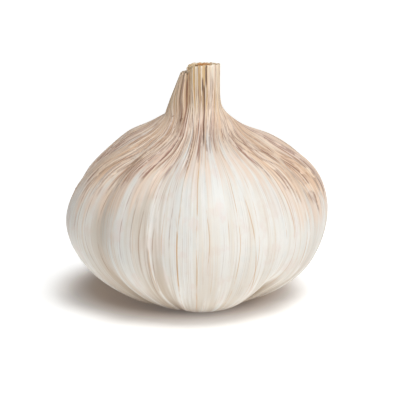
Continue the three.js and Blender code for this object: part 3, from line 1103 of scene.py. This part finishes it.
def makeRootPlate():
    # a disc whose cut face is inset again and again, then pitted
    deselectAll()
    bpy.ops.mesh.primitive_cylinder_add(
        vertices=144, radius=root["radius"], depth=root["height"],
        location=(0, 0, root["height"] / 2))
    piece = bpy.context.object
    bpy.ops.object.transform_apply(location=True)
    bpy.ops.object.mode_set(mode="EDIT")
    selectFaces(piece, lambda face: face.normal.z < -0.9)
    for _ in range(root["insets"]):
        bpy.ops.mesh.inset(thickness=root["inset"])
    bpy.ops.mesh.poke()
    selectFaces(piece, lambda face: abs(face.normal.z) < 0.3)
    bpy.ops.mesh.subdivide(number_cuts=3, quadcorner="INNERVERT")
    bpy.ops.object.mode_set(mode="OBJECT")
    place = vertexNumbers(piece.data)
    radius = np.hypot(place[:, 0], place[:, 1])
    angle = np.arctan2(place[:, 0], -place[:, 1])
    pits = waves(angle, radius / mm * 4, 0, 40, 24, 61) + 0.6 * np.cos(radius / mm * 5)
    under = place[:, 2] < 0.01 * mm
    rim = smooth(radius, root["radius"] - root["rim"], root["radius"])
    pitted = np.maximum(0, root["pits"] * pits) + root["rimRise"] * rim * rim
    place[under, 2] = pitted[under]
    wavy = 0.02 * waves(angle, place[:, 2] / mm * 3, 8, 40, 12, 67)
    wavy = 1 + wavy * smooth(radius, 3 * mm, 7 * mm)
    place[:, :2] *= wavy[:, None]
    piece.data.vertices.foreach_set("co", place.ravel())
    bpy.ops.object.shade_smooth_by_angle(angle=math.radians(60))
    return piece


def makeRootStubs():
    # thin tapering stubs round the plate's edge, in uneven rows, none of them below the table
    chance = np.random.default_rng(71)
    deselectAll()
    stubs = []
    for i in range(root["stubs"]):
        row = i % root["rows"]
        turn = 2 * math.pi * (i + chance.uniform(-0.35, 0.35)) / root["stubs"]
        reach = root["radius"] - 0.5 * mm - root["rowStep"] * row
        reach += chance.uniform(-0.2, 0.2) * mm
        length = chance.uniform(*root["stubLengths"]) * mm
        thick = root["stubRadius"] * chance.uniform(0.6, 1.1)
        tilt = math.radians(chance.uniform(*root["stubTilts"]) - 8 * row)
        out = reach + 0.35 * mm
        low = 0.27 * mm + length * math.cos(tilt) / 2
        bpy.ops.mesh.primitive_cone_add(
            vertices=9, radius1=thick * 0.6, radius2=thick, depth=length, end_fill_type="TRIFAN",
            location=(out * math.sin(turn), -out * math.cos(turn), low),
            rotation=(tilt * math.cos(turn), tilt * math.sin(turn), 0))
        stubs.append(bpy.context.object)
    for stub in stubs:
        stub.select_set(True)
    bpy.context.view_layer.objects.active = stubs[0]
    bpy.ops.object.join()
    piece = bpy.context.object
    bpy.ops.object.transform_apply(location=True, rotation=True, scale=True)
    place = vertexNumbers(piece.data)
    place[:, 2] = np.maximum(place[:, 2], 0.05 * mm)
    piece.data.vertices.foreach_set("co", place.ravel())
    bpy.ops.object.shade_smooth_by_angle(angle=math.radians(50))
    return piece


# Cork and dried root, as grown and cut off: brown, matt and pitted, with pale cut ends.
corkLook = {
    "pale": "#b89a72",
    "brown": "#7d5c3c",
    "dark": "#4b3423",
    "grain": 0.5,  # mm across
    "patch": 3,
}


def driedCork(name, look):
    material, tree, shader = newMaterial(name)
    place = put(tree, "TexCoord", out="Object")
    perGrain, perPatch = 1 / (look["grain"] * mm), 1 / (look["patch"] * mm)
    grain = put(tree, "TexNoise", {"Vector": place, "Scale": perGrain, "Detail": 4.0})
    patch = put(tree, "TexNoise", {"Vector": place, "Scale": perPatch, "Detail": 2.0})
    colour = put(tree, "RGB")
    colour.default_value = colourOf(look["pale"])
    layers = [("brown", patch, 0.35, 0.65, 1.0), ("dark", grain, 0.5, 0.7, 0.8)]
    for shade, value, low, high, most in layers:
        share = put(tree, "MapRange", {0: value, 1: low, 2: high, 4: most}, **eased)
        colour = put(tree, "Mix", {0: share, 6: colour, 7: colourOf(look[shade])}, **blend)
    tree.links.new(colour, shader.inputs["Base Color"])
    bump = put(tree, "Bump", {"Height": grain, "Strength": 0.9, "Distance": 0.25 * mm})
    tree.links.new(bump, shader.inputs["Normal"])
    shader.inputs["Roughness"].default_value = 0.88
    shader.inputs["IOR"].default_value = 1.45
    return material


makeCamera()
makeStudio()
skinPiece = makeSkin()
skinPaper = paperySkin("cured garlic leaf skin", skinLook)
skinPiece.data.materials.append(skinPaper)
sheathPiece = makeSheath(skinPiece)
closeEnds(skinPiece)
for piece in (skinPiece, sheathPiece):
    keepOnly(piece)
    bpy.ops.object.shade_smooth()
finishPiece(skinPiece, "garlicSkin", "bulb")
finishPiece(sheathPiece, "outerSheath", "outer_sheath")

stem = dryStem("cut garlic stem", stalkLook)
for number, leaf in enumerate(stalk["leaves"], 1):
    leafPiece = makeLeaf(leaf)
    leafPiece.data.materials.append(stem)
    finishPiece(leafPiece, f"innerLeaf{number}", "stalk")
corePiece = makeCore()
corePiece.data.materials.append(stem)
finishPiece(corePiece, "stalkCore", "stalk")

cork = driedCork("dried root cork", corkLook)
platePiece = makeRootPlate()
platePiece.data.materials.append(cork)
finishPiece(platePiece, "rootPlate", "root_plate")
stubsPiece = makeRootStubs()
stubsPiece.data.materials.append(cork)
finishPiece(stubsPiece, "rootStubs", "root_plate")
